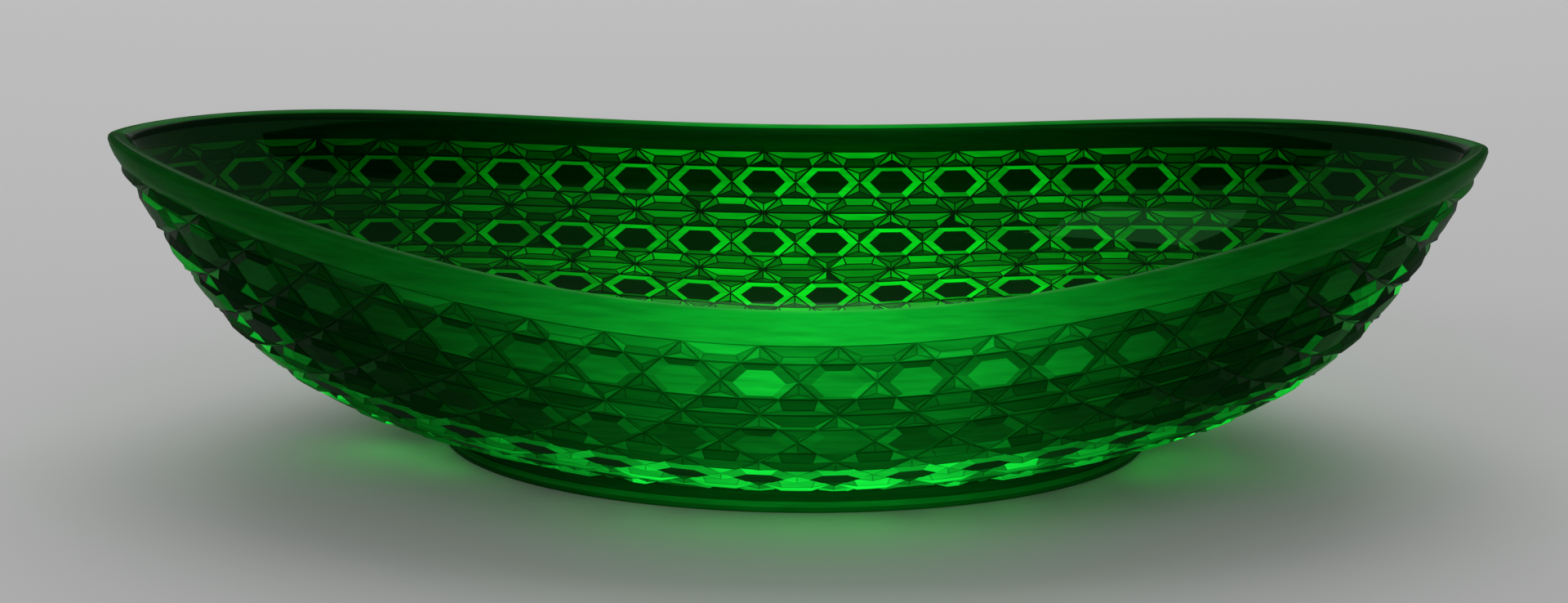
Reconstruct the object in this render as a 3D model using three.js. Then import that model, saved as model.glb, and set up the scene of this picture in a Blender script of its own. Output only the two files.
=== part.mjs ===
// A boat-shaped bowl of pressed uranium glass, in millimetres, +Z up.
//
// The glass is pressed in one go between a patterned mould and a smooth plunger. Its four formed
// regions are modelled as four bodies: a plain rim band, a patterned wall, a thick floor and a foot
// ring. A hairline gap lies between neighbours. The origin is under the middle of the foot.
import * as THREE from 'three';
import { mergeVertices } from 'three/addons/utils/BufferGeometryUtils.js';

// Overall shape
const HALF_LENGTH = 140;
const HALF_WIDTH = 71.9;
const SIDE_HEIGHT = 48.4;
const END_RISE = 22.9;
const END_ROLL_OFF = 8.2;
const PLAN_POINTEDNESS = 1.36;

// Foot
const FOOT_HALF_LENGTH = 73;
const FOOT_HALF_WIDTH = 47.8;
const FOOT_HEIGHT = 5;
const FOOT_RING_WIDTH = 8;
const FOOT_RECESS = 2.5;

// Glass thickness
const RIM_THICKNESS = 4.4;
const TIP_THICKNESS = 6;
const FLOOR_TOP = 9.5;
const LIP_ROUNDING = 1.6;

// How the wall spreads from the foot to the rim. The sides round in to the foot from an upright
// band, fuller with a bigger power. The ends sweep outwards, with a rounder belly for a smaller one.
const SIDE_FULLNESS = 3.4;
const END_SWELL = 0.44;
const END_REACH = 5;

const RIM_BAND_WIDTH = 6.4;
const GAP = 0.3;

// Fineness of the meshes
const SEGMENTS = 80;
const WALL_STEPS = 8;
const BAND_STEPS = 2;
const SIDE_CROWDING = 1.4;

const glass = (colour, roughness) => new THREE.MeshStandardMaterial({ color: colour, roughness, metalness: 0 });

const FINISHES = {
  rim_band: glass(0x1fb43c, 0.08),
  patterned_wall: glass(0x22c845, 0.1),
  bowl_floor: glass(0x189a34, 0.08),
  foot_ring: glass(0x17902f, 0.12),
};

const mix = THREE.MathUtils.lerp;

// Height of the rim above the table at a place along the length: low at the sides, high at the ends
function rimHeight(x) {
  const along = Math.abs(x) / HALF_LENGTH;
  return SIDE_HEIGHT + END_RISE * along ** 2 - END_ROLL_OFF * along ** 4;
}

// A point of the boat-shaped plan: angle 0 is the right tip, a quarter turn is the middle of a side.
// A pointedness of 2 would make an ellipse, and 1 two arcs that meet in sharp tips.
function boatPlan(angle, halfLength, halfWidth) {
  const along = Math.cos(angle);
  const across = Math.abs(Math.sin(angle)) ** (2 / PLAN_POINTEDNESS);
  return new THREE.Vector2(halfLength * along, halfWidth * across * Math.sign(Math.sin(angle)));
}

const footPlan = (angle, inset) => new THREE.Vector2(
  (FOOT_HALF_LENGTH - inset) * Math.cos(angle),
  (FOOT_HALF_WIDTH - inset) * Math.sin(angle),
);

// How far a place belongs to the ends: 1 at a tip, 0 at the middle of a side
const endShare = (angle) => Math.abs(Math.cos(angle)) ** END_REACH;

// How far the wall has spread at a level: 0 at the foot, 1 at the rim
function spreadAt(angle, level) {
  const side = 1 - (1 - level) ** SIDE_FULLNESS;
  const end = level ** END_SWELL;
  return mix(side, end, endShare(angle));
}

// One skin of the wall: level runs from 0 at the foot to 1 at the rim
function skinPoint(angle, level, foot, rim, footHeight) {
  const flat = foot.clone().lerp(rim, spreadAt(angle, level));
  const top = rimHeight(HALF_LENGTH * Math.cos(angle));
  return new THREE.Vector3(flat.x, flat.y, mix(footHeight, top, level));
}

// A point inside the wall: depth runs from 0 on the outer skin to 1 on the inner skin
function wallPoint(angle, level, depth) {
  const outer = skinPoint(angle, level, footPlan(angle, 0),
    boatPlan(angle, HALF_LENGTH, HALF_WIDTH), FOOT_HEIGHT);
  const inner = skinPoint(angle, level, footPlan(angle, FOOT_RING_WIDTH),
    boatPlan(angle, HALF_LENGTH - TIP_THICKNESS, HALF_WIDTH - RIM_THICKNESS), FLOOR_TOP);
  return outer.lerp(inner, depth);
}

// The share of the wall's height that a length measured down from the rim takes up
function levelShare(angle, length) {
  const rim = boatPlan(angle, HALF_LENGTH, HALF_WIDTH);
  const spread = rim.distanceTo(footPlan(angle, 0));
  const rise = rimHeight(rim.x) - FOOT_HEIGHT;
  return length / Math.hypot(rise, END_SWELL * endShare(angle) * spread);
}

// Turns a closed outline of (depth, position) points round the dish. The lathe makes a plain ring,
// and place() then moves each of its points to where it belongs on the boat shape.
const LATHE_RADIUS = 10;

function ring(outline, place) {
  const points = outline.map(([depth, position]) => new THREE.Vector2(LATHE_RADIUS - depth, position));
  points.push(points[0].clone());
  const lathe = new THREE.LatheGeometry(points, SEGMENTS);
  lathe.deleteAttribute('normal');
  lathe.deleteAttribute('uv');
  const geometry = mergeVertices(lathe, 1e-4);
  const position = geometry.attributes.position;
  for (let i = 0; i < position.count; i += 1) {
    const x = position.getX(i);
    const z = position.getZ(i);
    const angle = Math.atan2(x, z) + Math.PI / 2;
    const placed = place(angle, LATHE_RADIUS - Math.hypot(x, z), position.getY(i));
    position.setXYZ(i, placed.x, placed.y, placed.z);
  }
  geometry.computeVertexNormals();
  return geometry;
}

const steps = (count) => Array.from({ length: count + 1 }, (_, i) => i / count);

// The plain band: position 0 is its lower edge, 1 the top of the lip
function rimBand() {
  const side = (depth) => steps(BAND_STEPS).map((share) => [depth, share * 0.8]);
  const outline = [...side(0), [0.5, 1], ...side(1).reverse()];
  return ring(outline, (angle, depth, share) => {
    const bottom = 1 - levelShare(angle, RIM_BAND_WIDTH);
    const top = 1 - levelShare(angle, LIP_ROUNDING);
    const level = share > 0.9 ? 1 : mix(bottom, top, share / 0.8);
    return wallPoint(angle, level, depth);
  });
}

// The wall below the band: position 0 is the flat edge on the foot, 1 the edge under the band
function patternedWall() {
  const outer = steps(WALL_STEPS).map((share) => [0, share]);
  const inner = steps(WALL_STEPS).map((share) => [1, share]).reverse();
  const flatEdge = [1, -0.2];
  return ring([...outer, ...inner, flatEdge], (angle, depth, share) => {
    if (share < -0.1) {
      const edge = footPlan(angle, FOOT_RING_WIDTH);
      return new THREE.Vector3(edge.x, edge.y, FOOT_HEIGHT);
    }
    const top = 1 - levelShare(angle, RIM_BAND_WIDTH + GAP);
    const crowding = mix(SIDE_CROWDING, 1 / END_SWELL, endShare(angle));
    return wallPoint(angle, top * share ** crowding, depth);
  });
}

// An upright-sided plate or ring on the foot's own oval
function footOval(inset) {
  const oval = new THREE.Path();
  oval.absellipse(0, 0, FOOT_HALF_LENGTH - inset, FOOT_HALF_WIDTH - inset, 0, 2 * Math.PI);
  return oval.getPoints(SEGMENTS).slice(0, -1);
}

function extruded(shape, bottom, top) {
  const geometry = new THREE.ExtrudeGeometry(shape, { depth: top - bottom, bevelEnabled: false });
  geometry.translate(0, 0, bottom);
  return geometry;
}

function bowlFloor() {
  const shape = new THREE.Shape(footOval(FOOT_RING_WIDTH + GAP));
  return extruded(shape, FOOT_RECESS, FLOOR_TOP);
}

function footRing() {
  const shape = new THREE.Shape(footOval(0));
  shape.holes.push(new THREE.Path(footOval(FOOT_RING_WIDTH)));
  return extruded(shape, 0, FOOT_HEIGHT - GAP);
}

function part(name, geometry) {
  const mesh = new THREE.Mesh(geometry, FINISHES[name]);
  mesh.name = name;
  return mesh;
}

const dish = new THREE.Group();
dish.add(
  part('rim_band', rimBand()),
  part('patterned_wall', patternedWall()),
  part('bowl_floor', bowlFloor()),
  part('foot_ring', footRing()),
);

export default dish;
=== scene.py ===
# %% [markdown]
# # A boat-shaped dish of pressed uranium glass
#
# The real dish is one piece of glass. Molten glass is dropped into an iron mould whose walls are
# cut with hexagons and stars, and a smooth plunger squeezes it into shape. So it is smooth inside,
# sharply faceted outside, and it glows green under ultraviolet light, because of a pinch of
# uranium salt in the batch.
#
# This lesson loads the measured frame of the dish, rebuilds its skin with every facet as real
# geometry, and gives it a glass that glows from its facets. The light and shade on each facet are
# painted into that glow.

# %% Load the frame
import math

import bpy
import numpy as np
from mathutils import Matrix, Vector


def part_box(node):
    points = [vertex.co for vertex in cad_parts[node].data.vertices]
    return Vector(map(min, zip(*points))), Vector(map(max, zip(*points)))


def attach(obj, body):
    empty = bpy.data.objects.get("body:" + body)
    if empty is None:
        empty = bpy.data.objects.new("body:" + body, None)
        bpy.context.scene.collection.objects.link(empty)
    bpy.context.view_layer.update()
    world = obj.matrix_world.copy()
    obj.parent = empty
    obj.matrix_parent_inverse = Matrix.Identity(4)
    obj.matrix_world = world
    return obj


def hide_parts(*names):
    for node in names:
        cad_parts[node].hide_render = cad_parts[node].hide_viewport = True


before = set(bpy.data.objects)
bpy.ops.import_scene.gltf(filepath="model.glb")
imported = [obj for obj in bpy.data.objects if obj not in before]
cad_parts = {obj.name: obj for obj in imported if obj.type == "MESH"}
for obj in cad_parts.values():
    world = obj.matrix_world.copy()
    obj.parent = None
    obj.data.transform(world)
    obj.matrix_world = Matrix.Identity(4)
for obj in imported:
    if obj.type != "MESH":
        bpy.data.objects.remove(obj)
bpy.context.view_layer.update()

# %% [markdown]
# ## The measures of the dish
#
# Everything is worked out from the frame, so that the dish can't drift away from it: the rim band
# gives the length, the width and the height of the tips, and the foot ring gives the oval that the
# dish stands on. Rounding the lip takes a little off the tips, so a small allowance goes on the
# length first, and half of it on the width.
#
# The shares below say how the shape lies between those measures.

# %% Measures in metres
MM = 0.001
rim_low, rim_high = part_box("rim_band")
foot_low, foot_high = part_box("foot_ring")
floor_low, floor_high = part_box("bowl_floor")
wall_low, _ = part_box("patterned_wall")

ROUNDED_OFF = 1.6 * MM
HALF_LENGTH = (rim_high.x - rim_low.x) / 2 + ROUNDED_OFF
HALF_WIDTH = (rim_high.y - rim_low.y) / 2 + ROUNDED_OFF / 2
TIP_HEIGHT = rim_high.z
FOOT_HALF_LENGTH = (foot_high.x - foot_low.x) / 2
FOOT_HALF_WIDTH = (foot_high.y - foot_low.y) / 2
FOOT_HEIGHT = wall_low.z
FLOOR_TOP = floor_high.z
RECESS = floor_low.z
RING_WIDTH = FOOT_HALF_LENGTH - (floor_high.x - floor_low.x) / 2

SIDE_HEIGHT = 0.767 * TIP_HEIGHT
END_RISE = 0.363 * TIP_HEIGHT
PLAN_POINTEDNESS = 1.36
SIDE_FULLNESS = 3.4
END_SWELL = 0.44
END_REACH = 5
SIDE_THICKNESS = 3.6 * MM
TIP_THICKNESS = 4.8 * MM
FLOOR_INSET = 2 * MM
LIP_HEIGHT = 2.2 * MM
print(f"dish {2000 * HALF_LENGTH:.0f} x {2000 * HALF_WIDTH:.0f} x {1000 * TIP_HEIGHT:.0f} mm")

# %% [markdown]
# ## The smooth form under the pattern
#
# Before the facets comes the plain form, as a mould maker might shape it in plaster. Seen from
# above, the rim is an oval drawn out to two tips. Seen from the side, it dips in the middle and
# rises to the ends. Between the oval foot and the rim the sides stand almost upright and round in
# at the bottom, and the ends sweep outwards from a round, almost flat belly.
#
# Such a form could be sculpted, or lofted between curves. Formulas are used here, because the
# pattern has to be laid on the form later, and a formula gives any point of it at once. A place on
# the skin has an angle round the dish (0 at the right tip) and a level (0 at the foot, 1 at the
# rim).

# %% Rim line, plan and profile
def rim_height(angle):
    along = np.cos(angle)
    return SIDE_HEIGHT + END_RISE * along**2 - (SIDE_HEIGHT + END_RISE - TIP_HEIGHT) * along**4


def boat_oval(angle, half_length, half_width):
    across = np.abs(np.sin(angle)) ** (2 / PLAN_POINTEDNESS) * np.sign(np.sin(angle))
    return half_length * np.cos(angle), half_width * across


def spread_at(angle, level):
    """How far the wall has spread at a level, from 0 at the foot to 1 at the rim."""
    level = np.clip(level, 0, 1)
    side = 1 - (1 - level) ** SIDE_FULLNESS
    end = level**END_SWELL
    return side + (end - side) * np.abs(np.cos(angle)) ** END_REACH


print(f"rim {1000 * rim_height(math.pi / 2):.1f} mm high at the sides,",
      f"{1000 * rim_height(0):.1f} mm at the tips")

# %% [markdown]
# ## Two skins and the glass between them
#
# The outer skin is shaped by the mould and the inner one by the plunger. Both follow the same
# formulas with different insets, and a depth (0 outside, 1 inside) picks a place in the glass
# between them. The skins are kept close and nearly parallel. A wall that grew thicker downwards
# would act as a prism, and would crowd the rows of the pattern that are seen through it.

# %% Outer and inner skin
def skin(angle, level, foot_inset, tip_inset, side_inset, base):
    """A point of one skin, as an array of x, y, z."""
    foot_x = (FOOT_HALF_LENGTH - foot_inset) * np.cos(angle)
    foot_y = (FOOT_HALF_WIDTH - foot_inset) * np.sin(angle)
    rim_x, rim_y = boat_oval(angle, HALF_LENGTH - tip_inset, HALF_WIDTH - side_inset)
    spread = spread_at(angle, level)
    x = foot_x + (rim_x - foot_x) * spread
    y = foot_y + (rim_y - foot_y) * spread
    z = base + (rim_height(angle) - base) * level
    return np.stack([x, y, z], -1)


def place(angle, level, depth=0.0):
    """A point in the wall, from the outer skin (depth 0) to the inner one (depth 1)."""
    angle, level, depth = np.broadcast_arrays(
        np.asarray(angle, float), np.asarray(level, float), np.asarray(depth, float)
    )
    outer = skin(angle, level, 0, 0, 0, FOOT_HEIGHT)
    inner = skin(angle, level, FLOOR_INSET, TIP_THICKNESS, SIDE_THICKNESS, FLOOR_TOP)
    return outer + (inner - outer) * depth[..., None]


middle_of_side = place(math.pi / 2, 1.0)
print("rim at the middle of a side:", np.round(1000 * middle_of_side, 1), "mm")

# %% [markdown]
# ## A ruler that follows the wall
#
# The pattern's rows run parallel to the rim, so their ruler is the distance down the wall from the
# plain band's lower edge. There is no short formula for that distance, so the wall is measured
# once at many places, and the results are kept in a table.

# %% Measure the wall
BAND_WIDTH = 6.4 * MM
ROW = 7.25 * MM
ROW_SPREAD = 0.09
TABLE_ANGLES, TABLE_LEVELS, TABLE_DISTANCES = 721, 500, 800


def row_pitch(angle):
    """The rows spread a little towards the ends."""
    return ROW * (1 + ROW_SPREAD * np.cos(angle) ** 2)


ANGLES = np.linspace(0, math.pi, TABLE_ANGLES)
LEVELS = np.linspace(0, 1, TABLE_LEVELS) ** 2
skin_grid = place(ANGLES[:, None], LEVELS[None, ::-1])
skin_steps = np.linalg.norm(np.diff(skin_grid, axis=1), axis=-1)
from_rim = np.concatenate([np.zeros((len(ANGLES), 1)), np.cumsum(skin_steps, axis=1)], axis=1)
DISTANCES = np.linspace(0, from_rim.max(), TABLE_DISTANCES)
LEVEL_AT = np.array([np.interp(DISTANCES, row, LEVELS[::-1]) for row in from_rim])
BOTTOM_ROW = (from_rim[:, -1] - BAND_WIDTH) / row_pitch(ANGLES)
print(f"{BOTTOM_ROW.min():.1f} to {BOTTOM_ROW.max():.1f} rows down the wall")

# %% [markdown]
# ## From rows and columns to places on the wall
#
# The columns keep the same spacing along the dish's length, and crowd a little at its ends. Two
# lookups turn a (column, row) place into an angle and a level. A place past the keel of an end
# runs on round it, so that a button there can be cut off at the keel.

# %% Look up levels and angles
COLUMN = 14.5 * MM
COLUMN_CROWDING = 0.08
JUST_OVER_ONE = 1.000001


def level_below(angle, distance):
    """The level that lies a distance down the wall from the rim, from the table."""
    angle, distance = np.broadcast_arrays(np.asarray(angle, float), np.asarray(distance, float))
    i = np.clip(angle / math.pi * (len(ANGLES) - 1), 0, len(ANGLES) - JUST_OVER_ONE)
    j = np.clip(
        distance / DISTANCES[-1] * (len(DISTANCES) - 1), 0, len(DISTANCES) - JUST_OVER_ONE
    )
    i0, j0 = i.astype(int), j.astype(int)
    fi, fj = i - i0, j - j0
    here = LEVEL_AT[i0, j0] * (1 - fj) + LEVEL_AT[i0, j0 + 1] * fj
    beside = LEVEL_AT[i0 + 1, j0] * (1 - fj) + LEVEL_AT[i0 + 1, j0 + 1] * fj
    return here * (1 - fi) + beside * fi


def level_of_row(angle, row):
    return level_below(angle, BAND_WIDTH + np.asarray(row, float) * row_pitch(angle))


def column_of(x):
    share = x / HALF_LENGTH
    return HALF_LENGTH * (share + COLUMN_CROWDING * share**3) / COLUMN


def angles_of(columns, row):
    """The angles of places in one row. Past the keel of an end they run on below 0 or past pi."""
    along_row = column_of(place(ANGLES, level_of_row(ANGLES, row))[:, 0])[::-1]
    keel = along_row[-1]
    inside = np.interp(np.clip(columns, -keel, keel), along_row, ANGLES[::-1])
    past = np.arccos(np.clip(keel / np.maximum(np.abs(columns), keel), -1, 1))
    return inside + np.where(columns > 0, -past, past)


print(f"{column_of(HALF_LENGTH):.1f} columns each way")

# %% [markdown]
# ## Cutting one button
#
# The mould maker ruled three families of V-grooves: level ones round the dish and two slanting
# ones. They leave hexagons, with narrow triangles between them, and in every second row one more
# level groove runs through the middle, so that all lines meet there in eight-pointed stars. What
# stands between the grooves becomes a button: its sides slope up from the grooves, and a wide
# button has a flat top, where a narrow one ends in a ridge or a point.
#
# The grooves could be cut out of the solid one by one with booleans, but so many cuts are slow and
# leave ragged meshes. Instead each button is worked out in the plane, as a polygon whose sides move
# inwards while they rise.

# %% Move the sides of a button inwards
def moved_in(corners, widths):
    """The corners of a convex polygon after each side has moved in by its own width."""
    corners = np.asarray(corners, float)
    ahead = np.roll(corners, -1, axis=0) - corners
    ahead /= np.linalg.norm(ahead, axis=1)[:, None]
    inward = np.stack([-ahead[:, 1], ahead[:, 0]], -1)
    if np.sum(inward[0] * (corners.mean(axis=0) - corners[0])) < 0:
        inward = -inward
    offset = np.sum(inward * corners, axis=1) + np.asarray(widths)
    pairs = [[i - 1, i] for i in range(len(corners))]
    return np.array([np.linalg.solve(inward[pair], offset[pair]) for pair in pairs])


def narrowest(corners):
    """How far the sides of a symmetric button can move in before they meet."""
    corners = np.asarray(corners, float)
    if len(corners) == 3:
        x, y = corners.T
        area = 0.5 * abs(np.sum(x * np.roll(y, -1) - np.roll(x, -1) * y))
        around = np.sum(np.linalg.norm(np.roll(corners, -1, axis=0) - corners, axis=1))
        return 2 * area / around
    return (corners[:, 1].max() - corners[:, 1].min()) / 2


unit_square = moved_in([(0, 0), (1, 0), (1, 1), (0, 1)], [0.25] * 4)
print("a unit square moved in by a quarter:", unit_square.tolist())

# %% [markdown]
# ## The facets of a button
#
# The bevels of a hexagon have widths of their own: wide on the slanting sides, narrow above and
# below its flat. All other buttons rise at one slope until their sides meet. Each facet keeps what
# it faces (a side, up, down, or straight out), because that decides how it catches the light.

# %% Facets of one button
BEVEL_WIDTH = ROW / 4
SLOPE = 0.62
HEXAGON_BEVELS = {"side": 1.65 * MM, "upper": 1.0 * MM, "lower": 1.1 * MM}
HEXAGON_RISE = 0.85 * MM
SAME_PLACE = 0.01 * MM


def side_facings(corners):
    """Where each side of a button faces: side, upper or lower, and -1, 0 or 1 for left to right."""
    middle = np.mean(corners, axis=0)
    found = []
    for start, end in zip(corners, np.roll(corners, -1, axis=0)):
        outward = (start + end) / 2 - middle
        slanting = abs(end[1] - start[1]) > SAME_PLACE
        facing = "side" if slanting else "upper" if outward[1] < 0 else "lower"
        found.append((facing, int(np.sign(outward[0])) if slanting else 0))
    return found


def facets_of(corners):
    """The facets of one button: corners with heights, the kinds of their sides, and the facing."""
    corners = np.array(corners)
    facings = side_facings(corners)
    has_flat = len(corners) == 6
    if has_flat:
        widths, rise = [HEXAGON_BEVELS[facing] for facing, _ in facings], HEXAGON_RISE
    else:
        width = min(BEVEL_WIDTH, narrowest(corners))
        widths, rise = [width] * len(corners), SLOPE * width
    top = moved_in(corners, widths)
    inner_kind = "mitre" if has_flat else "ridge"
    found = []
    for i, (facing, way) in enumerate(facings):
        j = (i + 1) % len(corners)
        facet = [(*corners[i], 0.0), (*corners[j], 0.0), (*top[j], rise)]
        if np.linalg.norm(top[i] - top[j]) > SAME_PLACE:
            facet.append((*top[i], rise))
        kinds = ["groove"] + [inner_kind] * (len(facet) - 1)
        found.append((facet, kinds, facing, way))
    if has_flat:
        found.append(([(*corner, rise) for corner in top], ["mitre"] * len(top), "flat", 0))
    return found


print("a narrow button rises", round(1000 * SLOPE * BEVEL_WIDTH, 2), "mm")

# %% [markdown]
# ## Fine borders
#
# In a real pressing the edges aren't perfectly sharp. The stiff glass doesn't quite fill the
# sharpest corners of the mould, and the mould's own edges wear, so ridges and grooves are a hair
# rounded, and the way light falls on them shows them as fine lines of another tone. Rounding
# thousands of edges would make a very heavy mesh. Instead each facet gets a thin border strip along
# every side, which can carry a glow of its own: painted shade along the grooves and ridges.

# %% Borders of a facet
BORDERS = {"groove": 0.2 * MM, "ridge": 0.16 * MM, "mitre": 0.05 * MM}


def bordered(corners, kinds):
    """Splits a facet into its middle and a thin border along each side."""
    corners = np.array(corners)
    flat_corners = np.c_[corners[:, :2], np.ones(len(corners))]
    plane = np.linalg.lstsq(flat_corners, corners[:, 2], rcond=None)[0]
    inner = moved_in(corners[:, :2], [BORDERS[kind] for kind in kinds])
    inner = np.c_[inner, inner @ plane[:2] + plane[2]]
    strips = []
    for i, kind in enumerate(kinds):
        j = (i + 1) % len(corners)
        strips.append((np.array([corners[i], corners[j], inner[j], inner[i]]), kind))
    return inner, strips


print("border widths:", {kind: round(1000 * width, 2) for kind, width in BORDERS.items()}, "mm")

# %% [markdown]
# ## How much each facet glows
#
# In each button every facet catches another share of the light, so it gets its own glow. That glow
# is painted light and shade, laid over the green glow of the salt. The lamp shines into the bowl:
# from inside, the far wall shows crisp bright bevels round dark flats, and towards an end the
# bevels that face away from the lamp are the brighter ones. The near wall is seen from outside,
# where the light comes through softly and mostly at the rim and the foot, so its glow is given row
# by row, from the rim down.
#
# Tracing real light through so many facets takes long and stays grainy. So the shares are drawn at
# random within a range, with a fixed seed, which makes the same dish every time. The draws for
# the near side are raised to a power, so that bright facets are rare there.

# %% Glow of a facet
rng = np.random.default_rng(7)
# Painted light and shade: the share of light each kind of facet catches, by the way it faces.
FAR_GLOW = {
    "hexagon": {
        "side": (0.65, 1.05), "upper": (0.6, 1.15), "lower": (0.15, 0.5), "flat": (0.01, 0.02),
    },
    "roof": {"side": (0.1, 0.75), "upper": (0.2, 0.9), "lower": (0.02, 0.2)},
    "star_point": {"side": (0.0, 0.8), "upper": (0.05, 0.55), "lower": (0.0, 0.1)},
}
NEAR_GLOW = {
    "hexagon": {
        "side": (0.34, 0.26, 0.15, 0.11, 0.13, 0.48, 0.35),
        "upper": (0.3, 0.13, 0.11, 0.07, 0.09, 0.55, 0.35),
        "lower": (0.3, 0.28, 0.11, 0.11, 0.1, 0.3, 0.35),
        "flat": (0.3, 0.48, 0.11, 0.09, 0.08, 0.03, 0.05),
    },
    "roof": {
        "side": (0.42, 0.26, 0.17, 0.11, 0.17, 0.48, 0.5),
        "upper": (0.5, 0.26, 0.11, 0.11, 0.08, 0.48, 0.75),
        "lower": (0.4, 0.26, 0.18, 0.11, 0.65, 0.38, 0.35),
    },
    "star_point": {
        "side": (0.4, 0.26, 0.15, 0.11, 0.15, 0.65, 0.3),
        "upper": (0.4, 0.26, 0.13, 0.11, 0.11, 0.65, 0.1),
        "lower": (0.4, 0.26, 0.13, 0.11, 0.11, 0.5, 0.1),
    },
}
LAST_ROW = 6
THROUGH_GLASS = 1.95
AWAY_FROM_LAMP = 0.05
NEAR_DIMMEST, NEAR_SPAN = 0.7, 1.2
# A sparkle is a painted glint: extra glow on a rare single facet.
SPARKLE = 1.7
FLAT_SPARKLE = 0.25
RARE, VERY_RARE = 3, 5


def facet_glow(kind, facing, way, row, column):
    """A facet's glow on the far and the near side, and the painted sparkle a keel adds there."""
    low, high = FAR_GLOW[kind][facing]
    from_far = THROUGH_GLASS * rng.uniform(low, high) * (1 + AWAY_FROM_LAMP * way * column)
    soft_glow = NEAR_GLOW[kind][facing][min(row, LAST_ROW)]
    from_near = soft_glow * (NEAR_DIMMEST + NEAR_SPAN * rng.uniform() ** RARE)
    share = FLAT_SPARKLE if facing == "flat" else 1
    sparkle = SPARKLE * rng.uniform() ** VERY_RARE * share
    return from_far, from_near, sparkle


print("glow tables for", sorted(FAR_GLOW))

# %% [markdown]
# ## Which button lies where
#
# Rows alternate. An odd row holds whole hexagons side by side, with a triangle above and below
# each place where two of them touch. An even row holds the stars: triangles point at each star
# from above and below, and between the stars lie pairs of long roof-shaped buttons. The first star
# row is cut in half by the plain band.
#
# The corners are written in columns and rows, so the shapes can be read off: a hexagon is one
# column wide and one row high.

# %% Buttons of one row
COLUMNS_EACH_WAY = 12


def hexagon(middle, row):
    return [(middle - 0.5, row), (middle - 0.25, row - 0.5), (middle + 0.25, row - 0.5),
            (middle + 0.5, row), (middle + 0.25, row + 0.5), (middle - 0.25, row + 0.5)]


def star_point(tip, row, way):
    return [(tip, row), (tip - 0.25, row + way), (tip + 0.25, row + way)]


def roof(star, row, way):
    return [(star, row), (star + 1, row), (star + 0.75, row + way), (star + 0.25, row + way)]


def row_buttons(row):
    """The buttons of one row as (kind, corners), in columns and rows."""
    made = []
    is_star_row = row % 2 == 0
    for star in np.arange(-COLUMNS_EACH_WAY, COLUMNS_EACH_WAY) + 0.5:
        if not is_star_row:
            made.append(("hexagon", hexagon(star, row)))
        for way in (-0.5, 0.5):
            if row == 0 and way < 0:
                continue
            tip = star if is_star_row else star + 0.5
            made.append(("star_point", star_point(tip, row, way)))
            if is_star_row:
                made.append(("roof", roof(star, row, way)))
    return made


print(len(row_buttons(1)), "buttons in a hexagon row,", len(row_buttons(2)), "in a star row")

# %% [markdown]
# ## The whole pattern, still flat
#
# The rows are now filled with facets, each with its borders. On the far side the border along a
# groove is unlit, and along a ridge almost so: painted shade, which draws the dark lines of the
# pattern. On the near side, where the light is softer, it takes a share of its facet's glow, a
# lighter painted shade.

# %% Lay out the pattern
# Glow along grooves and ridges, on the far side and as a share on the near side: painted shade.
PAINTED_LINE_SHADE = {"groove": (0.0, 0.4), "ridge": (0.02, 0.6)}
BUTTON_SCALE = np.array([COLUMN, ROW])
ROWS = int(BOTTOM_ROW.max()) + 2

pattern = []
for row in range(ROWS):
    for kind, corners in row_buttons(row):
        column = np.mean([corner[0] for corner in corners])
        for facet, kinds, facing, way in facets_of(np.array(corners) * BUTTON_SCALE):
            far_glow, near_glow, sparkle = facet_glow(kind, facing, way, row, column)
            middle, strips = bordered(facet, kinds)
            pattern.append((middle, (far_glow, near_glow, sparkle)))
            for strip, strip_kind in strips:
                line_glow, share = PAINTED_LINE_SHADE.get(strip_kind, (far_glow, 1.0))
                pattern.append((strip, (line_glow, near_glow * share, sparkle * share)))
print(len(pattern), "pattern pieces before trimming")

# %% [markdown]
# ## Finding the angle of every corner
#
# The flat pieces are now laid on the wall. The lookup works on one row line at a time, so corners
# on the same line are looked up together, which is quick.

# %% Angles of the corners
DIGITS = 9
all_corners = np.concatenate([piece for piece, _ in pattern])
row_lines = all_corners[:, 1].round(DIGITS)
corner_angles = np.zeros(len(all_corners))
for value in np.unique(row_lines):
    chosen = row_lines == value
    corner_angles[chosen] = angles_of(all_corners[chosen, 0] / COLUMN, value / ROW)
print(len(all_corners), "corners placed on", len(np.unique(row_lines)), "row lines")

# %% [markdown]
# ## Cutting the pieces to the wall
#
# A flat piece can't follow a curved wall, so each is cut along evenly spaced upright lines. It is
# also trimmed where it would run over the keel of an end. Only one long side is made here. It is
# mirrored later, as the two halves of the mould are mirror images.
#
# Neighbours should meet in exactly the same points, or light would leak through the skin. So a
# cut always starts from the same end of an edge, and points beside a cut line are put right on it.

# %% Cut along upright lines
CUT_ANGLES = np.radians(np.arange(0, 181, 3.0))
BESIDE_LINE = 1e-6
ALMOST_ON_LINE = 1e-7


def trimmed(piece, values):
    """The part of a polygon where the values at its corners are 0 or more."""
    kept = []
    for i in range(len(piece)):
        j = (i + 1) % len(piece)
        if values[i] >= 0:
            kept.append(piece[i])
        if values[i] * values[j] < 0:
            start, end = sorted([(piece[i], values[i]), (piece[j], values[j])])
            t = start[1] / (start[1] - end[1])
            kept.append(tuple(p + (q - p) * t for p, q in zip(start[0], end[0])))
    return kept


def cut_at(piece, angle, keep_after):
    """The part of a piece before or after an upright line, with its new corners on the line."""
    way = 1 if keep_after else -1
    kept = trimmed(piece, [way * (corner[0] - angle) for corner in piece])
    return [
        (angle, *corner[1:]) if abs(corner[0] - angle) < ALMOST_ON_LINE else corner
        for corner in kept
    ]


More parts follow.
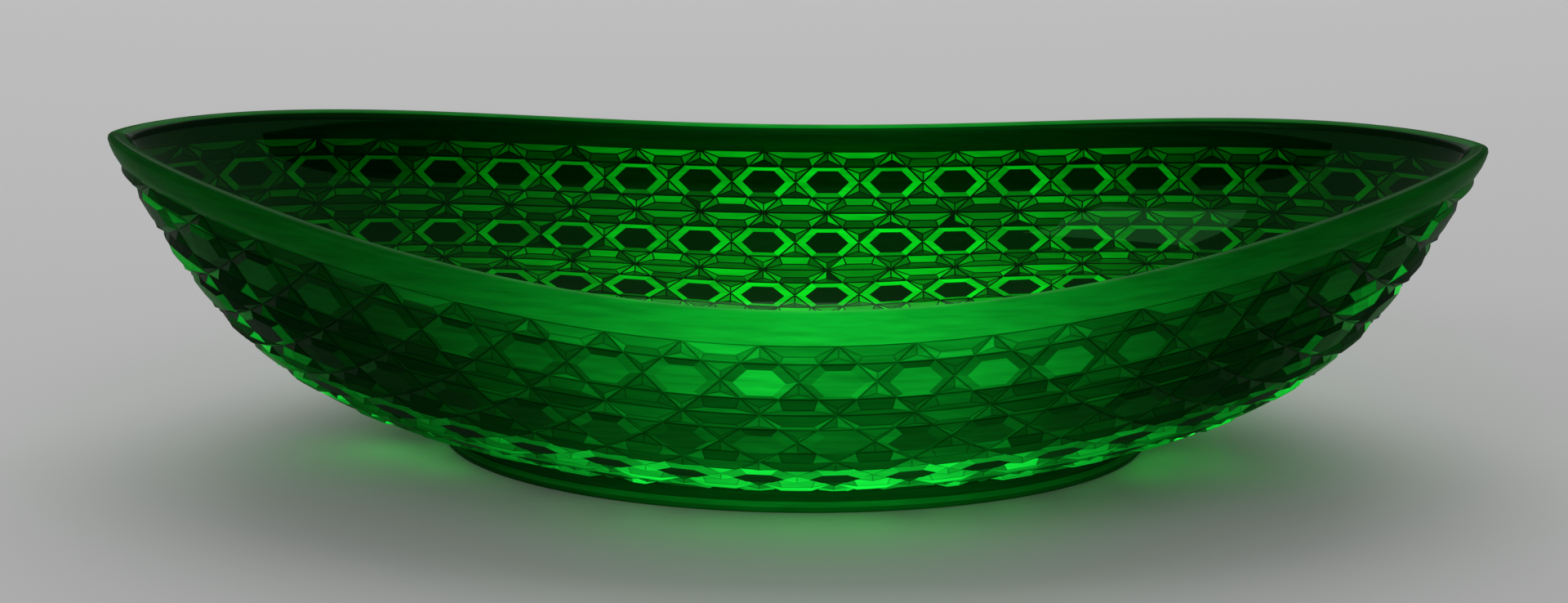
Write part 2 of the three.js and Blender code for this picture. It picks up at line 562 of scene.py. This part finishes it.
pieces, start = [], 0
for flat, glow in pattern:
    span = corner_angles[start : start + len(flat)]
    start += len(flat)
    if span.max() <= 0 or span.min() >= math.pi:
        continue
    piece = [
        (round(angle, DIGITS), round(y / ROW, DIGITS), height)
        for angle, (_, y, height) in zip(span.tolist(), flat.tolist())
    ]
    piece = cut_at(cut_at(piece, 0.0, True), math.pi, False)
    if len(piece) < 3:
        continue
    low, high = min(corner[0] for corner in piece), max(corner[0] for corner in piece)
    crossing = (CUT_ANGLES > low + BESIDE_LINE) & (CUT_ANGLES < high - BESIDE_LINE)
    for line in CUT_ANGLES[crossing].tolist():
        pieces.append((cut_at(piece, line, False), glow))
        piece = cut_at(piece, line, True)
    pieces.append((piece, glow))
print(len(pieces), "pieces after cutting")

# %% [markdown]
# ## Trimming the pattern at the foot
#
# The rows run parallel to the rim, but the foot doesn't, so the last rows are cut off where the
# wall ends. Corners that several pieces share become one point here, which joins the loose pieces.
#
# The trimming isn't perfect: some edges along the foot line find no neighbour and stay open.

# %% Trim at the foot and share the points
KEY_DIGITS = 6
ROWS_BESIDE_FOOT = 1e-3


def bottom_row(angle):
    return float(np.interp(angle, ANGLES, BOTTOM_ROW))


points, faces, glows, foot_points = {}, [], [], set()
for piece, glow in pieces:
    room = [bottom_row(corner[0]) - corner[1] for corner in piece]
    if max(room) <= 0:
        continue
    reaches_foot = min(room) < 0
    if reaches_foot:
        piece = trimmed(piece, room)
    face = []
    for angle, row, height in piece:
        bottom = bottom_row(angle)
        on_foot = reaches_foot and abs(row - bottom) < ROWS_BESIDE_FOOT
        row = bottom if on_foot else row
        key = (round(angle, KEY_DIGITS), round(row, KEY_DIGITS))
        index = points.setdefault(key, (len(points), angle, row, height))[0]
        if on_foot:
            foot_points.add(key)
        if index not in face:
            face.append(index)
    if len(face) > 2:
        faces.append(face)
        glows.append(glow)
print(len(points), "points", len(faces), "faces", len(foot_points), "on the foot")

# %% [markdown]
# ## The facets on the form
#
# The facets stand on the smooth form: the grooves lie below it and the crests above it. Each point
# of the pattern goes to its place on the outer skin, and from there straight out by its height,
# less the depth of the grooves. The far side is placed first. Its mirror image becomes the near
# side, and both share the points on the two keels.

# %% Put the points on the form
GROOVE_DEPTH = 0.55 * MM
STEP = 1e-4
LOWEST_LEVEL = 2e-3


def out_of(angle, level):
    """The direction straight out of the outer skin."""
    level = np.clip(level, LOWEST_LEVEL, 1 - STEP)
    along = place(angle + STEP, level) - place(angle - STEP, level)
    up = place(angle, level + STEP) - place(angle, level - STEP)
    out = np.cross(along, up)
    return out / np.linalg.norm(out, axis=-1, keepdims=True)


_, angle_of, row_of, height_of = np.array(sorted(points.values())).T
level_at_point = level_of_row(angle_of, row_of)
foot_line = sorted((points[key][1], points[key][0]) for key in foot_points)
top_line = sorted((angle, index) for index, angle, row, _ in points.values() if row == 0)
level_at_point[[index for _, index in foot_line]] = 0

far = place(angle_of, level_at_point)
far += out_of(angle_of, level_at_point) * (height_of - GROOVE_DEPTH)[:, None]
on_keel = (angle_of == 0) | (angle_of == math.pi)
far[on_keel, 1] = 0

vertices = [tuple(point) for point in far]
mirror_of = {}
for index, (x, y, z) in enumerate(far):
    mirror_of[index] = index if on_keel[index] else len(vertices)
    if not on_keel[index]:
        vertices.append((x, -y, z))
print(len(vertices), "points on both sides,", int(on_keel.sum()), "of them on the keels")

# %% [markdown]
# ## Facets on both sides
#
# Every face keeps how much it glows, and whether one looks through it (clear) or into the deep
# glass. Where the near wall turns away, beside the keel of each end, the glass is seen edge-on and
# single facets sparkle, most of all low on the belly. The sparkle is a painted glint, added to the
# glow.

# %% Add the facets
polygons, glow_of, sparkle_of, clear_of, smooth_of = [], [], [], [], []
SPARKLE_ANGLE, SPARKLE_SPAN = 0.35, 0.25
SPARKLE_TOP = 1.05


def add_face(face, glow, clear, smooth, sparkle=0.0):
    polygons.append(face)
    glow_of.append(glow)
    sparkle_of.append(sparkle)
    clear_of.append(clear)
    smooth_of.append(smooth)


for face, (far_glow, near_glow, sparkle) in zip(faces, glows):
    a, r = angle_of[face], row_of[face]
    from_keel = min(a.mean(), math.pi - a.mean())
    beside_keel = math.exp(-(((from_keel - SPARKLE_ANGLE) / SPARKLE_SPAN) ** 2))
    sparkle *= beside_keel * (SPARKLE_TOP - level_at_point[face].mean())
    clockwise = np.sum(a * np.roll(r, -1) - np.roll(a, -1) * r) > 0
    face = face[::-1] if clockwise else face
    add_face(face, far_glow, 0.0, False)
    add_face([mirror_of[index] for index in face][::-1], near_glow, 0.0, False, sparkle)
print("facets placed:", len(polygons), "faces")

# %% [markdown]
# ## One connected skin
#
# The dish comes out of the mould as one piece of glass, and light that goes in on one side leaves
# on the other. So the mesh is one connected skin too, because four solids side by side would bend
# the light where the real glass doesn't. It should also be closed, and it is, except for the open
# edges along the foot line.
#
# The rest of the skin is made of rings. Each ring of points takes the angles of the pattern's top
# or bottom line, so that the rings share their points with the pattern.

# %% Loops and rings
def whole_loop(half_line):
    """A loop right round the dish as (angles, vertex numbers), from the far half's line."""
    near = [(-angle, mirror_of[index]) for angle, index in half_line if 0 < angle < math.pi]
    loop = list(half_line) + near[::-1]
    return np.array([angle for angle, _ in loop]), [index for _, index in loop]


def add_ring(ring):
    first = len(vertices)
    vertices.extend(tuple(point) for point in ring)
    return list(range(first, first + len(ring)))


def two_sides(value):
    """One number for both sides of the dish, or a pair for the far and the near side."""
    return value if isinstance(value, tuple) else (value, value)


def join(lower, upper, glow, clear, smooth=True, sparkle=0.0):
    """Faces between two loops that run counterclockwise, seen from above, facing out."""
    for i in range(len(lower)):
        j = (i + 1) % len(lower)
        side = int(vertices[lower[i]][1] + vertices[lower[j]][1] < 0)
        face = [lower[i], lower[j], upper[j], upper[i]]
        add_face(face, two_sides(glow)[side], clear, smooth, two_sides(sparkle)[side])


def close(loop, centre, glow, clear):
    """A fan from a loop to one point in its middle, facing up if the loop is counterclockwise."""
    vertices.append(centre)
    middle = len(vertices) - 1
    for i in range(len(loop)):
        add_face([loop[i], loop[(i + 1) % len(loop)], middle], glow, clear, True)


top_angles, top_loop = whole_loop(top_line)
foot_angles, foot_loop = whole_loop(foot_line)
print(f"loops of {len(top_loop)} points at the top and {len(foot_loop)} at the foot")

# %% [markdown]
# ## The plain band and the lip
#
# The mould ends below the rim, where a ring closes it, so the band there stays plain. It stands a
# touch proud of the form. The lip is fire-polished: the rim is heated until its edge flows round.
# So it is a half turn from the outer skin to the inner one, in small steps.
#
# Light runs up inside the wall and leaves at the lip, so the lip shows as a fine line, and the band
# glows mostly on the near side. That light is painted into their glow and sparkle. Both are given
# as a pair, for the far and the near side.

# %% Band and lip
BAND_STEPS = ((0.96, 0.1), (0.7, 0.2), (0.45, 0.1))
LIP_STEPS = 8
LAST_BRIGHT_STEP = 6
BAND_GLOW, LIP_GLOW, INNER_LIP_GLOW = (0.07, 0.64), (0.28, 0.64), (0.03, 0.3)
BAND_SPARKLE, LIP_SPARKLE = (0.0, 0.035), (0.13, 0.035)
INNER_LIP_CLEAR = 0.2

half_angles = np.abs(top_angles)
loop = top_loop
for share, proud in BAND_STEPS:
    level = level_below(half_angles, BAND_WIDTH * share)
    ring = add_ring(place(top_angles, level) + out_of(top_angles, level) * proud * MM)
    join(loop, ring, BAND_GLOW, 0.0, sparkle=BAND_SPARKLE)
    loop = ring

lip_share = LIP_HEIGHT / (rim_height(top_angles) - FOOT_HEIGHT)
for step in range(LIP_STEPS + 1):
    turn = math.pi * step / LIP_STEPS
    level = 1 - lip_share * (1 - math.sin(turn))
    ring = add_ring(place(top_angles, level, (1 - math.cos(turn)) / 2))
    if step == 0:
        join(loop, ring, BAND_GLOW, 0.0, sparkle=BAND_SPARKLE)
    elif step <= LAST_BRIGHT_STEP:
        join(loop, ring, LIP_GLOW, 0.0, sparkle=LIP_SPARKLE)
    else:
        join(loop, ring, INNER_LIP_GLOW, INNER_LIP_CLEAR)
    loop = ring
print("vertices up to the lip:", len(vertices))

# %% [markdown]
# ## The inside
#
# The inside is shaped by the plunger, so it is smooth everywhere, down to the flat floor. Its rings
# lie closer together near the floor, where the wall curves most.

# %% Inner wall and floor
INNER_ROWS = 36
FLOOR_RINGS = (0.9, 0.7, 0.45, 0.2)

for step in range(1, INNER_ROWS + 1):
    level = (1 - lip_share) * (1 - step / INNER_ROWS) ** 2
    ring = add_ring(place(top_angles, level, 1.0))
    join(loop, ring, 0.0, 1.0)
    loop = ring
floor_edge = np.array([vertices[index] for index in loop])
for share in FLOOR_RINGS:
    ring = add_ring(floor_edge * [share, share, 1])
    join(loop, ring, 0.0, 1.0)
    loop = ring
close(loop, (0, 0, FLOOR_TOP), 0.0, 1.0)
print("vertices with the inside:", len(vertices))

# %% [markdown]
# ## The foot
#
# Below the pattern the foot narrows in a shallow cove and ends in a rounded bead. Its underside is
# ground flat, so that the dish doesn't rock, and the middle is hollowed a little, so that only the
# ring touches the table. The profile lists its points from the pattern down: the inset and the
# height in millimetres, and the glow. The bead catches a thin line of light.

# %% Foot and underside
# The glow column is painted shade in the cove and a painted line of light on the bead.
FOOT_PROFILE = (
    (0.8, 4.2, 0.02), (1.1, 3.6, 0.03), (1.1, 2.6, 0.03), (0.7, 2.2, 0.03), (0.1, 1.9, 0.1),
    (0.0, 1.3, 0.1), (0.1, 0.5, 0.05), (0.5, 0.0, 0.03),
)
UNDERSIDE_GLOW = 0.16
RECESS_SLOPE = 1.5 * MM
RECESS_RINGS = (0.75, 0.4)


def foot_oval(inset, z):
    return np.stack([
        (FOOT_HALF_LENGTH - inset) * np.cos(foot_angles),
        (FOOT_HALF_WIDTH - inset) * np.sin(foot_angles),
        np.full(len(foot_angles), z),
    ], -1)


loop = foot_loop
for inset, z, glow in FOOT_PROFILE:
    ring = add_ring(foot_oval(inset * MM, z * MM))
    join(ring, loop, glow, 0.0)
    loop = ring
ring = add_ring(foot_oval(RING_WIDTH, 0))
join(ring, loop, UNDERSIDE_GLOW, 0.0, smooth=False)
recess_oval = foot_oval(RING_WIDTH + RECESS_SLOPE, RECESS)
loop = add_ring(recess_oval)
join(loop, ring, UNDERSIDE_GLOW, 0.0)
for share in RECESS_RINGS:
    ring = add_ring(recess_oval * [share, share, 1])
    join(ring, loop, UNDERSIDE_GLOW, 0.0)
    loop = ring
close(loop[::-1], (0, 0, RECESS), UNDERSIDE_GLOW, 0.0)
print("vertices with the underside:", len(vertices))

# %% [markdown]
# ## The mesh
#
# All points and faces become one mesh. The facets and the ground ring stay flat-shaded, and all the
# rest is smooth. The glow of each face goes along as a face attribute, which the material can
# read: one material then serves thousands of differently lit facets.

# %% Make the mesh
dish_mesh = bpy.data.meshes.new("pressed_glass_dish")
dish_mesh.from_pydata(vertices, [], polygons)
dish_mesh.polygons.foreach_set("use_smooth", smooth_of)
for name, values in (("glow", glow_of), ("sparkle", sparkle_of), ("clear", clear_of)):
    dish_mesh.attributes.new(name, "FLOAT", "FACE").data.foreach_set("value", values)
dish_mesh.update()
dish = bpy.data.objects.new("pressed_glass_dish", dish_mesh)
bpy.context.scene.collection.objects.link(dish)
print("dish mesh:", len(vertices), "vertices,", len(polygons), "faces")

# %% [markdown]
# ## Nodes written as sums
#
# A shader is a tree of nodes. Written out link by link it is hard to read, so a small class wraps
# a node's output. Sums of wrapped outputs add the Math nodes, and one method adds any other node.
#
# A Mix node has sockets for numbers, vectors and colours under the same names, so its colour
# sockets are picked by number. Its factor isn't clamped, because some facets glow brighter than 1.

# %% A socket that can be used in sums
MIX_FACTOR, MIX_LOW, MIX_HIGH, MIX_COLOUR = 0, 6, 7, 2


class Socket:
    """A node's output. Arithmetic on it adds Math nodes to its tree."""

    def __init__(self, tree, output):
        self.tree = tree
        self.output = output

    @classmethod
    def node(cls, tree, kind, settings=None, inputs=None, output=0):
        """Adds a node, sets it up, then fills or links its inputs, and wraps one output."""
        made = tree.nodes.new("ShaderNode" + kind)
        for name, value in (settings or {}).items():
            setattr(made, name, value)
        for name, value in (inputs or {}).items():
            if isinstance(value, cls):
                tree.links.new(value.output, made.inputs[name])
            else:
                made.inputs[name].default_value = value
        return cls(tree, made.outputs[output])

    def maths(self, operation, *values):
        return self.node(self.tree, "Math", {"operation": operation}, dict(enumerate(values)))

    def __add__(self, other):
        return self.maths("ADD", self, other)

    def __radd__(self, other):
        return self.maths("ADD", other, self)

    def __sub__(self, other):
        return self.maths("SUBTRACT", self, other)

    def __rsub__(self, other):
        return self.maths("SUBTRACT", other, self)

    def __mul__(self, other):
        return self.maths("MULTIPLY", self, other)

    def __rmul__(self, other):
        return self.maths("MULTIPLY", other, self)

    def __truediv__(self, other):
        return self.maths("DIVIDE", self, other)

    def __rtruediv__(self, other):
        return self.maths("DIVIDE", other, self)

    def __pow__(self, other):
        return self.maths("POWER", self, other)

    def __rpow__(self, other):
        return self.maths("POWER", other, self)

    def __gt__(self, other):
        return self.maths("GREATER_THAN", self, other)

    def mix(self, low, high):
        """A colour between low and high, with this value as the share of high."""
        settings = {"data_type": "RGBA", "clamp_factor": False}
        inputs = {MIX_FACTOR: self, MIX_LOW: low, MIX_HIGH: high}
        return self.node(self.tree, "Mix", settings, inputs, output=MIX_COLOUR)


print("made the class", Socket.__name__)

# %% [markdown]
# ## Where the light falls
#
# The lamp stands over the middle of the dish, so the glow fades towards the ends, in the shape of a
# bell that is a little wider on the far side: a painted pool of light. The glow is made stronger
# low on the wall, where more light gathers, and that is painted light too. Fine level streaks run
# through it: a noise that is stretched sideways and squeezed in height.
#
# The dish's own coordinates are used for both, so the glow stays where it is when one walks round
# the dish.

# %% Strength of the glow
glass = bpy.data.materials.new("uranium_glass")
glass.use_nodes = True
tree = glass.node_tree

glow = Socket.node(tree, "Attribute", {"attribute_name": "glow"}, output="Fac")
sparkle = Socket.node(tree, "Attribute", {"attribute_name": "sparkle"}, output="Fac")
clear = Socket.node(tree, "Attribute", {"attribute_name": "clear"}, output="Fac")
place_on_dish = Socket.node(tree, "TexCoord", output="Object")
x, y, z = (
    Socket.node(tree, "SeparateXYZ", inputs={"Vector": place_on_dish}, output=axis)
    for axis in "XYZ"
)

# A painted pool of light: a bell round the lamp, and a painted gain low on the wall.
FAR_LAMP, NEAR_LAMP = 0.08 * HALF_LENGTH, 0.03 * HALF_LENGTH
FAR_REACH, NEAR_REACH = 0.46 * HALF_LENGTH, 0.34 * HALF_LENGTH
GLOW_AWAY_FROM_LAMP = 0.06
GLOW_AT_TABLE, GLOW_LOST_AT_RIM = 1.5, 0.75
far_side = y > 0.0
reach = NEAR_REACH + (FAR_REACH - NEAR_REACH) * far_side
off_lamp = (x - NEAR_LAMP - (FAR_LAMP - NEAR_LAMP) * far_side) / reach
lamp = GLOW_AWAY_FROM_LAMP + (1 - GLOW_AWAY_FROM_LAMP) * math.e ** (0 - off_lamp * off_lamp)
low_down = GLOW_AT_TABLE - GLOW_LOST_AT_RIM * (z / SIDE_HEIGHT)

STREAKS_PER_METRE = (90, 90, 900)
DIMMEST_STREAK, STREAK_SPAN = 0.55, 0.9
stretched = Socket.node(
    tree, "VectorMath", {"operation": "MULTIPLY"}, {0: place_on_dish, 1: STREAKS_PER_METRE}
)
streaks = Socket.node(
    tree, "TexNoise", inputs={"Vector": stretched, "Scale": 1.0, "Detail": 2.0}, output="Fac"
)
streak_share = DIMMEST_STREAK + STREAK_SPAN * streaks
strength = (glow * lamp + sparkle) * low_down * streak_share
print("nodes so far:", len(tree.nodes))

# %% [markdown]
# ## Glass with uranium salt in it
#
# The glass is clear enough to look through, but in its thick parts almost black green. So the
# smooth inside is transparent with a green tint, and the facets have a very deep one. Where
# ultraviolet light is caught, the salt gives green light back, so each facet adds its own share of
# green light. That share is painted light and shade: each facet's bright or dark tone, the painted
# pool of the lamp and the painted sparkles all go into the emission.
#
# Light that meets the faceted side goes into deep glass, and most of it is swallowed there. A Mix
# Shader does that: on the facets four fifths of the surface only glow, and one fifth is shiny
# glass. A faint bump makes the pressed surfaces ripple, as chilled glass does against iron.

# %% Glass material
DEEP = (0.0, 0.002, 0.00004, 1)
CLEAR = (0.003, 0.15, 0.011, 1)
UNLIT = (0.0, 0.0, 0.0, 1)
LIT = (0.006, 0.8, 0.045, 1)
FACET_ROUGHNESS, INSIDE_ROUGHNESS = 0.2, 0.03
SWALLOWED_SHARE = 0.8
RIPPLES_PER_METRE = 45.0

shader = tree.nodes["Principled BSDF"]
tint = clear.mix(DEEP, CLEAR)
light = strength.mix(UNLIT, LIT)
roughness = FACET_ROUGHNESS - (FACET_ROUGHNESS - INSIDE_ROUGHNESS) * clear
ripples = Socket.node(
    tree,
    "TexNoise",
    inputs={"Vector": place_on_dish, "Scale": RIPPLES_PER_METRE, "Detail": 1.0},
    output="Fac",
)
bump = Socket.node(
    tree, "Bump", inputs={"Strength": 0.12, "Distance": MM, "Height": ripples}, output="Normal"
)
tree.links.new(tint.output, shader.inputs["Base Color"])
tree.links.new(light.output, shader.inputs["Emission Color"])
tree.links.new(roughness.output, shader.inputs["Roughness"])
tree.links.new(bump.output, shader.inputs["Normal"])
shader.inputs["Emission Strength"].default_value = 1.0
shader.inputs["Transmission Weight"].default_value = 1.0
shader.inputs["IOR"].default_value = 1.5
shader.inputs["Specular Tint"].default_value = (0.1, 0.7, 0.16, 1)

glow_only = Socket.node(tree, "Emission", inputs={"Color": light, "Strength": 1.0})
swallowed = SWALLOWED_SHARE - SWALLOWED_SHARE * clear
shiny_glass = Socket(tree, shader.outputs["BSDF"])
blend = Socket.node(tree, "MixShader", inputs={0: swallowed, 1: shiny_glass, 2: glow_only})
tree.links.new(blend.output, tree.nodes["Material Output"].inputs["Surface"])
dish_mesh.materials.append(glass)
print("nodes in the glass:", len(tree.nodes))

# %% [markdown]
# ## Fixing the dish to the frame
#
# The frame knows the dish as four regions: rim band, wall, floor and foot. The continuous glass
# stands for all of them, and moves with the one body there is.

# %% Hand the dish to the frame
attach(dish, "root")
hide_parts("rim_band", "patterned_wall", "bowl_floor", "foot_ring")
print("glass on", dish.name)

# %% [markdown]
# ## Table
#
# A pale, matt table keeps the eye on the glass. It is one large square, so that its edges stay out
# of sight.

# %% Floor
FLOOR_REACH = 4
floor_mesh = bpy.data.meshes.new("floor")
floor_signs = ((-1, -1), (1, -1), (1, 1), (-1, 1))
floor_corners = [(FLOOR_REACH * x_sign, FLOOR_REACH * y_sign, 0) for x_sign, y_sign in floor_signs]
floor_mesh.from_pydata(floor_corners, [], [(0, 1, 2, 3)])
floor = bpy.data.objects.new("floor", floor_mesh)
bpy.context.scene.collection.objects.link(floor)
floor_paint = bpy.data.materials.new("pale_floor")
floor_paint.use_nodes = True
paint = floor_paint.node_tree.nodes["Principled BSDF"]
paint.inputs["Base Color"].default_value = (0.8, 0.8, 0.8, 1)
paint.inputs["Roughness"].default_value = 0.9
floor_mesh.materials.append(floor_paint)
print("floor of", 2 * FLOOR_REACH, "m")

# %% [markdown]
# ## Light
#
# Glass mirrors its surroundings. They should hardly show here, so that the glow does. The room
# is evenly grey, and the main light is a very large, weak panel above and behind the dish, whose
# mirror image in the flat floor of the bowl passes over the camera. A small panel on the left gives
# the shadows a direction.

# %% Lights
ROOM_STRENGTH = 0.27
world = bpy.data.worlds.new("studio")
world.use_nodes = True
world.node_tree.nodes["Background"].inputs["Color"].default_value = (1, 1, 1, 1)
world.node_tree.nodes["Background"].inputs["Strength"].default_value = ROOM_STRENGTH
bpy.context.scene.world = world


def add_soft_light(name, position, size, power):
    """A square panel that is aimed at the dish."""
    data = bpy.data.lights.new(name, "AREA")
    data.size = size
    data.energy = power
    panel = bpy.data.objects.new(name, data)
    panel.location = position
    panel.rotation_euler = (-Vector(position)).to_track_quat("-Z", "Y").to_euler()
    bpy.context.scene.collection.objects.link(panel)
    print(name, "panel:", size, "m wide,", power, "W")


add_soft_light("overhead", position=(0.0, 1.2, 1.5), size=1.9, power=16)
add_soft_light("side", position=(-1.2, -0.8, 0.9), size=0.8, power=2)

# %% [markdown]
# ## Camera
#
# The camera looks a little down on the dish, from the middle of its long side, so that the far wall
# shows its pattern from inside and the near wall from outside. It leans by about half a degree,
# as a camera held in the hand does. The Standard view keeps the green pure, where a filmic one
# would bleach it.

# %% Camera
AZIMUTH, ELEVATION, ROLL = (math.radians(angle) for angle in (-0.21, 17.0, 0.61))
DISTANCE = 0.67893
TARGET = Vector((-0.0026, 0, 0.0285))
LENS, SENSOR = 75.79, 36

back = Vector((
    math.sin(AZIMUTH) * math.cos(ELEVATION),
    -math.cos(AZIMUTH) * math.cos(ELEVATION),
    math.sin(ELEVATION),
))
level_right = (-back).cross(Vector((0, 0, 1))).normalized()
level_up = level_right.cross(-back)
right = level_right * math.cos(ROLL) + level_up * math.sin(ROLL)
up = level_up * math.cos(ROLL) - level_right * math.sin(ROLL)

camera_data = bpy.data.cameras.new("camera")
camera_data.sensor_width = SENSOR
camera_data.lens = LENS
camera = bpy.data.objects.new("camera", camera_data)
turned = Matrix((right, up, back)).transposed()
camera.matrix_world = Matrix.Translation(TARGET + DISTANCE * back) @ turned.to_4x4()
bpy.context.scene.collection.objects.link(camera)
bpy.context.scene.camera = camera
bpy.context.scene.view_settings.view_transform = "Standard"
print(f"camera {DISTANCE:.2f} m away")
